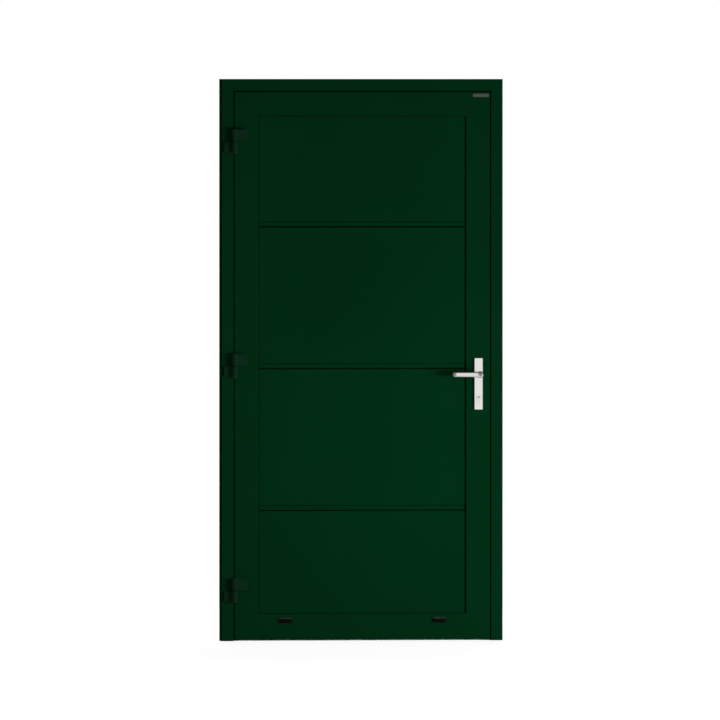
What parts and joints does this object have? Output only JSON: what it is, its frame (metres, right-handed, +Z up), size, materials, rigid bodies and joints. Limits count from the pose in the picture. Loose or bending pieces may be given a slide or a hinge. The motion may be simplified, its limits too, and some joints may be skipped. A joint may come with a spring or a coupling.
{
  "type": "panel door",
  "caption": "Outward-opening panel door in its three-sided frame, with a mitred leaf, stacked horizontal panels, pin hinges, a lever handle, a latch and a key-operated dead bolt.",
  "frame": {"origin": "on the floor, at mid width of the frame and in the middle plane of the leaf", "axes": "+X to the lock side seen from outside, +Y into the building, +Z up"},
  "size_m": [1.06, 0.188, 2.1],
  "materials": {
    "green_coat": "satin powder coat",
    "panel_skin": "satin coil coat",
    "hinge_coat": "satin powder coat",
    "hinge_cap": "moulded",
    "zinc_steel": "zinc plated",
    "stainless": "satin brushed",
    "nickel_brass": "nickel plated",
    "black_plastic": "moulded",
    "black_rubber": "matt",
    "bristle": "bristle strip",
    "mill_aluminium": "mill finish"
  },
  "bodies": {
    "frame": {"hinge_jamb": "green_coat", "lock_jamb": "green_coat", "frame_head": "green_coat", "frame_corner_cleats": "mill_aluminium", "frame_seals": "black_rubber", "strike_plate": "hinge_coat", "strike_screws": "zinc_steel", "lower_hinge_frame_half": "hinge_coat", "middle_hinge_frame_half": "hinge_coat", "upper_hinge_frame_half": "hinge_coat", "lower_hinge_pin": "zinc_steel", "middle_hinge_pin": "zinc_steel", "upper_hinge_pin": "zinc_steel", "hinge_frame_screws": "hinge_coat", "hinge_foot_caps": "hinge_cap"},
    "leaf": {"hinge_stile": "green_coat", "lock_stile": "green_coat", "top_rail": "green_coat", "bottom_rail": "green_coat", "seal_carrier": "green_coat", "hinge_side_bead": "green_coat", "lock_side_bead": "green_coat", "top_bead": "green_coat", "bottom_bead": "green_coat", "bottom_panel": "panel_skin", "lower_panel": "panel_skin", "upper_panel": "panel_skin", "top_panel": "panel_skin", "lower_hinge_leaf_half": "hinge_coat", "middle_hinge_leaf_half": "hinge_coat", "upper_hinge_leaf_half": "hinge_coat", "hinge_leaf_screws": "hinge_coat", "hinge_top_caps": "hinge_cap", "faceplate_screws": "zinc_steel", "cylinder_screw": "zinc_steel", "lock_case": "zinc_steel", "outer_handle_plate": "stainless", "inner_handle_plate": "stainless", "handle_plate_bolts": "stainless", "lock_faceplate": "stainless", "cylinder_body": "nickel_brass", "left_drain_cap": "black_plastic", "right_drain_cap": "black_plastic", "setting_blocks": "black_plastic", "hinge_bushes": "black_plastic", "outer_gasket": "black_rubber", "inner_gasket": "black_rubber", "bottom_brush": "bristle", "leaf_corner_cleats": "mill_aluminium"},
    "lever": {"outer_lever": "stainless", "inner_lever": "stainless", "spindle": "zinc_steel", "lever_set_screws": "zinc_steel", "lock_follower": "zinc_steel"},
    "latch": {"latch_bolt": "stainless"},
    "dead_bolt": {"dead_bolt": "stainless"},
    "outer_plug": {"outer_plug": "nickel_brass", "cylinder_cam": "nickel_brass"},
    "inner_plug": {"inner_plug": "nickel_brass"}
  },
  "joints": [
    {"name": "leaf_swing", "type": "hinge", "parent": "frame", "child": "leaf", "pos_m": [-0.484, -0.045, 0.188], "axis": [0, 0, -1], "range_deg": [0, 170]},
    {"name": "lever_turn", "type": "hinge", "parent": "leaf", "child": "lever", "pos_m": [0.438, 0, 0.995], "axis": [0, -1, 0], "range_deg": [0, 40], "stiffness_Nm_per_rad": 1, "springref_deg": -20.05},
    {"name": "latch_slide", "type": "slide", "parent": "leaf", "child": "latch", "axis": [1, 0, 0], "range_m": [-0.0101, 0]},
    {"name": "outer_plug_turn", "type": "hinge", "parent": "leaf", "child": "outer_plug", "pos_m": [0.438, 0, 0.91], "axis": [0, -1, 0], "range_deg": [0, 360]},
    {"name": "dead_bolt_slide", "type": "slide", "parent": "leaf", "child": "dead_bolt", "axis": [1, 0, 0], "range_m": [0, 0.02]},
    {"name": "inner_plug_turn", "type": "hinge", "parent": "leaf", "child": "inner_plug", "pos_m": [0.438, 0, 0.91], "axis": [0, 1, 0], "range_deg": [0, 360]}
  ],
  "couplings": [
    {"joint": "latch_slide", "follows": "lever_turn", "m_per_rad": -0.014324},
    {"joint": "outer_plug_turn", "follows": "dead_bolt_slide", "rad_per_m": 314.15}
  ]
}
